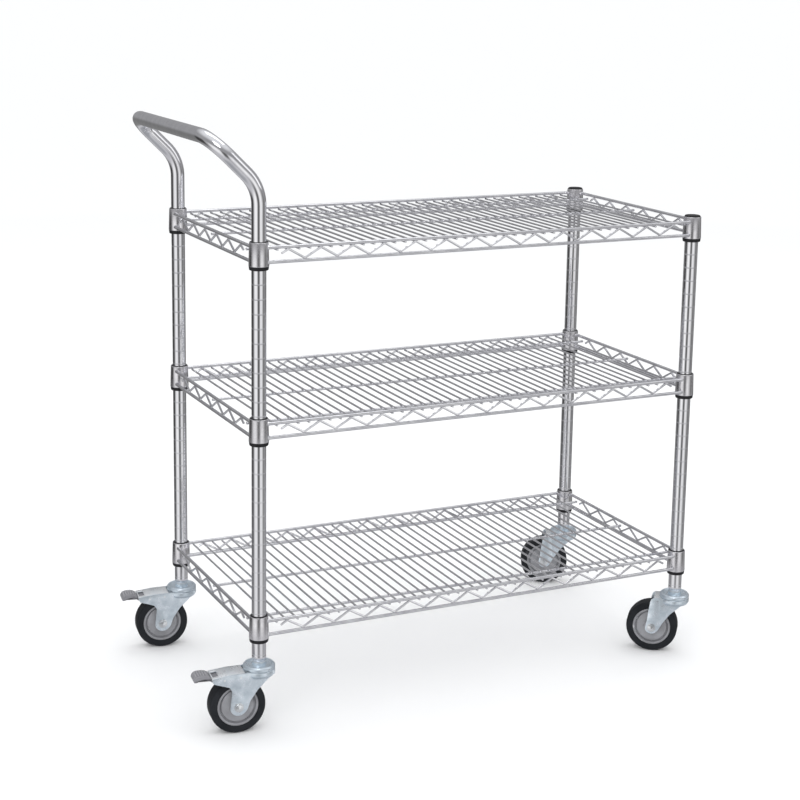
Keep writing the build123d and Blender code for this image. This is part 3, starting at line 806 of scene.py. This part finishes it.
def prism(bm, at, low, high, radius, sides, rounding=0.5):
    """A hexagon or disc on the axle line, with rounded edges."""
    low_end, high_end = at(TRAIL, AXLE_Z, low), at(TRAIL, AXLE_Z, high)
    turn = (high_end - low_end).to_track_quat("Z", "Y").to_matrix().to_4x4()
    made = bmesh.ops.create_cone(bm, cap_ends=True, segments=sides, radius1=radius * MM,
                                 radius2=radius * MM, depth=abs(high - low) * MM,
                                 matrix=Matrix.Translation((low_end + high_end) / 2) @ turn)
    caps_only = {f for v in made["verts"] for f in v.link_faces if len(f.edges) == sides}
    bmesh.ops.bevel(bm, geom=list({e for f in caps_only for e in f.edges}), offset=rounding * MM,
                    segments=2, profile=0.5, affect="EDGES", material=-1)


def mm_section(corners, steps=4):
    """A rounded section given in mm, in metres."""
    return [(x * MM, y * MM) for x, y in filleted(corners, steps)]


def doubled(half):
    """A section mirrored across the wheel's middle."""
    return half + [(radius, -across, bend) for radius, across, bend in reversed(half)]


def caster(corner):
    """Stem, fork, axle, wheel and pedal of one caster."""
    at = caster_at(corner)
    has_brake = corner in BRAKED
    foot, swivel = at(0, 0, 0), f"{corner}_swivel"
    hub, across = at(TRAIL, AXLE_Z, 0), at(0, 0, 1) - at(0, 0, 0)

    bm = bmesh.new()
    spun(bm, mm_section(RACE), foot, closed=False, steps=72)
    piece(bm, f"{corner}_stem_and_race", "frame", ZINC,
          [f"{corner}_caster_stem"])

    bm = bmesh.new()
    spun(bm, mm_section(CROWN), foot, steps=72)
    cheek = filleted(BRAKE_CHEEK if has_brake else PLAIN_CHEEK, 6)
    for side in (-1, 1):
        plate(bm, cheek, at, side * CHEEK_IN, side * CHEEK_OUT, CHEEK_EDGE)
    if has_brake:
        plate(bm, TAIL_WEB, at, -WEB_OUT, WEB_OUT, WEB_EDGE)
        plate(bm, TAIL_END, at, -WEB_OUT, WEB_OUT, STRIP_EDGE)
        for side in (-1, 1):
            plate(bm, TAIL_SIDE, at, side * SLOT_HALF, side * WEB_OUT, STRIP_EDGE)
    else:
        panel = filleted(PLAIN_PANEL, 5)
        for side in (-1, 1):
            plate(bm, panel, at, side * WEB_OUT, side * (CHEEK_OUT + PANEL_HIGH))
        plate(bm, PLAIN_WEB, at, -WEB_OUT, WEB_OUT, WEB_EDGE)
    piece(bm, f"{corner}_fork_sheet", swivel, ZINC,
          [f"{corner}_caster_fork"])

    bm = bmesh.new()
    prism(bm, at, -CHEEK_IN, CHEEK_IN, SPACER_R, 32)
    for side in (-1, 1):
        prism(bm, at, side * CHEEK_OUT, side * (CHEEK_OUT + WASHER_HIGH), WASHER_R, 40, 0.3)
        prism(bm, at, side * (CHEEK_OUT + WASHER_HIGH), side * (CHEEK_OUT + NUT_END), NUT_R, 6, 0.7)
    prism(bm, at, -CHEEK_OUT - BOLT_TIP_END, CHEEK_OUT + BOLT_HEAD_END, BOLT_R, 32, 0.6)
    piece(bm, f"{corner}_axle_bolt", swivel, BOLT_STEEL,
          [f"{corner}_caster_axle"])

    bm = bmesh.new()
    spun(bm, mm_section(doubled(CORE_HALF)), hub, across, UP, steps=96)
    piece(bm, f"{corner}_wheel_centre", f"{corner}_wheel",
          WHEEL_PLASTIC, [f"{corner}_wheel_core"])
    bm = bmesh.new()
    spun(bm, mm_section(doubled(TYRE_HALF), 6), hub, across, UP, steps=96)
    piece(bm, f"{corner}_tread", f"{corner}_wheel", TYRE_RUBBER,
          [f"{corner}_tyre"])
    dress(f"{corner}_caster_balls", BALL_STEEL)
    if has_brake:
        bm = bmesh.new()
        plate(bm, filleted(PEDAL, 4), at, -PEDAL_HALF, PEDAL_HALF, 1.0)
        for u, z in PEDAL_RIBS:
            reach = PEDAL_HALF - RIB_SHORT
            tube(bm, [at(u, z, -reach), at(u, z, reach)], RIB_R * MM, sides=10)
        piece(bm, f"{corner}_foot_pedal", f"{corner}_pedal",
              GREY_PLASTIC, [f"{corner}_brake_pedal"])
        dress(f"{corner}_brake_shoe", ZINC)
        dress(f"{corner}_brake_pins", ZINC)


for corner in CORNERS:
    caster(corner)
